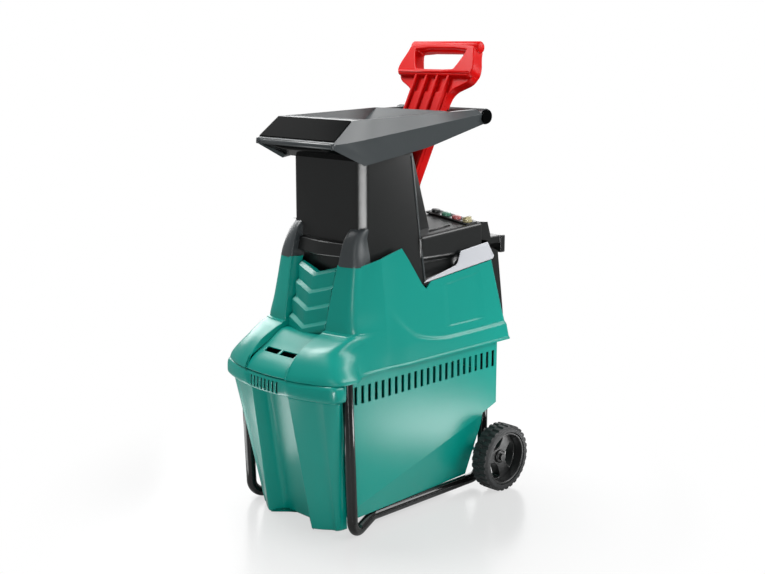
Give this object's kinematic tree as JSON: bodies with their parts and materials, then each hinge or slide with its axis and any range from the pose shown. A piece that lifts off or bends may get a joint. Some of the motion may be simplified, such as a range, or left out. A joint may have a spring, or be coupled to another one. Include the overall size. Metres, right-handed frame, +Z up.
{
  "type": "garden shredder",
  "caption": "Upright garden shredder with a feed hopper, geared cutting drum, pull-out collection box and a bent-tube stand on wheels.",
  "frame": {"origin": "middle of the footprint, on the ground", "axes": "+Z up, the front with the collection box's lip faces -Y, +X is the side with the start and stop buttons"},
  "size_m": [0.414, 0.603, 0.9888],
  "materials": {
    "tube_black": "gloss black paint",
    "housing_green": "satin moulded plastic",
    "black_plastic": "fine-grained moulded plastic",
    "hopper_grey": "satin moulded plastic",
    "pusher_red": "moulded plastic",
    "band_silver": "silver-painted plastic",
    "wheel_black": "moulded plastic",
    "tyre_black": "blocked tread",
    "steel": "turned steel",
    "tool_steel": "ground tool steel",
    "cast_aluminium": "as-cast",
    "iron": "laminated iron",
    "button_green": "moulded plastic",
    "button_red": "moulded plastic",
    "selector_yellow": "moulded plastic"
  },
  "bodies": {
    "machine": {"front_leg_right": "tube_black", "front_leg_left": "tube_black", "lower_rail_right": "tube_black", "lower_rail_left": "tube_black", "rear_leg_right": "tube_black", "rear_leg_left": "tube_black", "axle": "steel", "axle_caps": "steel", "chassis": "black_plastic", "housing": "housing_green", "chute_front": "black_plastic", "chute_rear": "black_plastic", "pusher_holder": "black_plastic", "hopper": "hopper_grey", "front_plate": "black_plastic", "handle_bar": "hopper_grey", "bar_caps": "black_plastic", "motor_lid": "black_plastic", "side_band_right": "band_silver", "side_band_left": "band_silver", "rear_cover": "black_plastic", "cord_hooks": "black_plastic", "mains_inlet": "black_plastic", "control_panel": "black_plastic", "switch_box": "black_plastic", "cutter_frame": "cast_aluminium", "drum_bearings": "steel", "gearbox_case": "cast_aluminium", "motor_case": "cast_aluminium", "motor_stator": "iron", "capacitor": "cast_aluminium", "safety_switch": "black_plastic", "cover_screws": "steel"},
    "wheel_right_body": {"wheel_right": "wheel_black", "tyre_right": "tyre_black"},
    "wheel_left_body": {"wheel_left": "wheel_black", "tyre_left": "tyre_black"},
    "box": {"collection_box": "housing_green"},
    "lock": {"lock_slide": "housing_green"},
    "pusher_body": {"pusher": "pusher_red"},
    "start": {"start_button": "button_green"},
    "stop": {"stop_button": "button_red"},
    "selector": {"direction_selector": "selector_yellow"},
    "overload": {"overload_button": "black_plastic"},
    "drum": {"drum_shaft": "steel", "cutting_drum": "tool_steel", "drum_gear": "steel"},
    "lay": {"layshaft": "steel", "layshaft_pinion": "steel", "layshaft_wheel": "steel"},
    "rotor": {"motor_rotor": "iron", "motor_pinion": "steel", "motor_fan": "black_plastic"},
    "plate": {"counter_plate": "tool_steel"},
    "knob": {"adjusting_screw": "steel", "adjusting_knob": "black_plastic"}
  },
  "joints": [
    {"name": "wheel_right_spin", "type": "hinge", "parent": "machine", "child": "wheel_right_body", "pos_m": [0.185, 0.2265, 0.075], "axis": [1, 0, 0], "continuous": true},
    {"name": "wheel_left_spin", "type": "hinge", "parent": "machine", "child": "wheel_left_body", "pos_m": [-0.185, 0.2265, 0.075], "axis": [1, 0, 0], "continuous": true},
    {"name": "box_pull", "type": "slide", "parent": "machine", "child": "box", "axis": [0, -1, 0], "range_m": [0, 0.42]},
    {"name": "lock_lift", "type": "slide", "parent": "machine", "child": "lock", "axis": [0, 0.2588, 0.9659], "range_m": [0, 0.018]},
    {"name": "pusher_lift", "type": "slide", "parent": "machine", "child": "pusher_body", "axis": [0, 0.454, 0.891], "range_m": [0, 0.2]},
    {"name": "start_press", "type": "slide", "parent": "machine", "child": "start", "axis": [-0.1357, 0.0926, -0.9864], "range_m": [0, 0.003], "stiffness_N_per_m": 400},
    {"name": "stop_press", "type": "slide", "parent": "machine", "child": "stop", "axis": [-0.1357, 0.0926, -0.9864], "range_m": [0, 0.003], "stiffness_N_per_m": 400},
    {"name": "overload_press", "type": "slide", "parent": "machine", "child": "overload", "axis": [-0.1357, 0.0926, -0.9864], "range_m": [0, 0.003], "stiffness_N_per_m": 400},
    {"name": "selector_turn", "type": "hinge", "parent": "machine", "child": "selector", "pos_m": [0.12007, 0.17809, 0.60572], "axis": [0.1357, -0.0926, 0.9864], "range_deg": [-45, 45]},
    {"name": "drum_spin", "type": "hinge", "parent": "machine", "child": "drum", "pos_m": [0.02, -0.0635, 0.405], "axis": [0, 1, 0], "continuous": true},
    {"name": "layshaft_spin", "type": "hinge", "parent": "machine", "child": "lay", "pos_m": [-0.02411, 0.0335, 0.45609], "axis": [0, 1, 0], "continuous": true},
    {"name": "rotor_spin", "type": "hinge", "parent": "machine", "child": "rotor", "pos_m": [0.02, 0.1235, 0.465], "axis": [0, 1, 0], "continuous": true},
    {"name": "knob_turn", "type": "hinge", "parent": "machine", "child": "knob", "pos_m": [-0.157, -0.0635, 0.405], "axis": [1, 0, 0], "range_deg": [0, 360]},
    {"name": "plate_shift", "type": "slide", "parent": "machine", "child": "plate", "axis": [-1, 0, 0], "range_m": [0, 0.004]}
  ],
  "couplings": [
    {"joint": "layshaft_spin", "follows": "drum_spin", "ratio": -4},
    {"joint": "rotor_spin", "follows": "drum_spin", "ratio": 16},
    {"joint": "knob_turn", "follows": "plate_shift", "rad_per_m": 1570.8}
  ]
}
